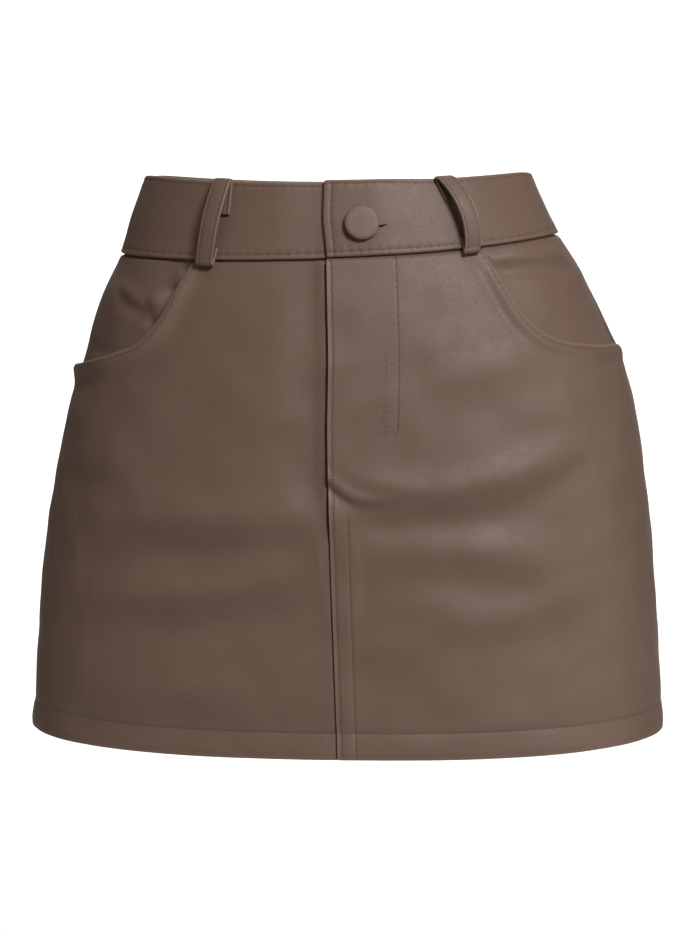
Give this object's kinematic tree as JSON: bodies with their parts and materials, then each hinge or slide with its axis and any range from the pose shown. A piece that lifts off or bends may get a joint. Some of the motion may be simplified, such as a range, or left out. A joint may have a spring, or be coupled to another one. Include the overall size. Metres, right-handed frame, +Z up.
{
  "type": "leather mini skirt",
  "caption": "Short A-line leather skirt filled out as if worn, with a lapped zip fly, covered button, curved front pockets, belt loops and a turned hem.",
  "frame": {"origin": "centre of the waist opening, at the middle level of the waistband", "axes": "+Z up, +X towards the wearer's left (the viewer's right), -Y the front"},
  "size_m": [0.39, 0.2398, 0.3488],
  "materials": {
    "leather": "smooth taupe-brown leather, satin",
    "thread": "matching topstitch thread, a shade darker",
    "zip_tape": "woven tape, matte",
    "zip_teeth": "moulded teeth",
    "zip_metal": "painted slider and pull tab"
  },
  "bodies": {
    "root": {"front_left": "leather", "front_right": "leather", "pocket_facing_left": "leather", "pocket_facing_right": "leather", "back_left": "leather", "back_right": "leather", "waistband_left": "leather", "waistband_right": "leather", "button": "leather", "belt_loop_front_left": "leather", "belt_loop_front_right": "leather", "belt_loop_side_left": "leather", "belt_loop_side_right": "leather", "belt_loop_back": "leather", "zip_tape_right": "zip_tape", "zip_tape_left": "zip_tape", "zip_chain": "zip_teeth", "zip_slider": "zip_metal", "zip_pull": "zip_metal"}
  },
  "joints": []
}
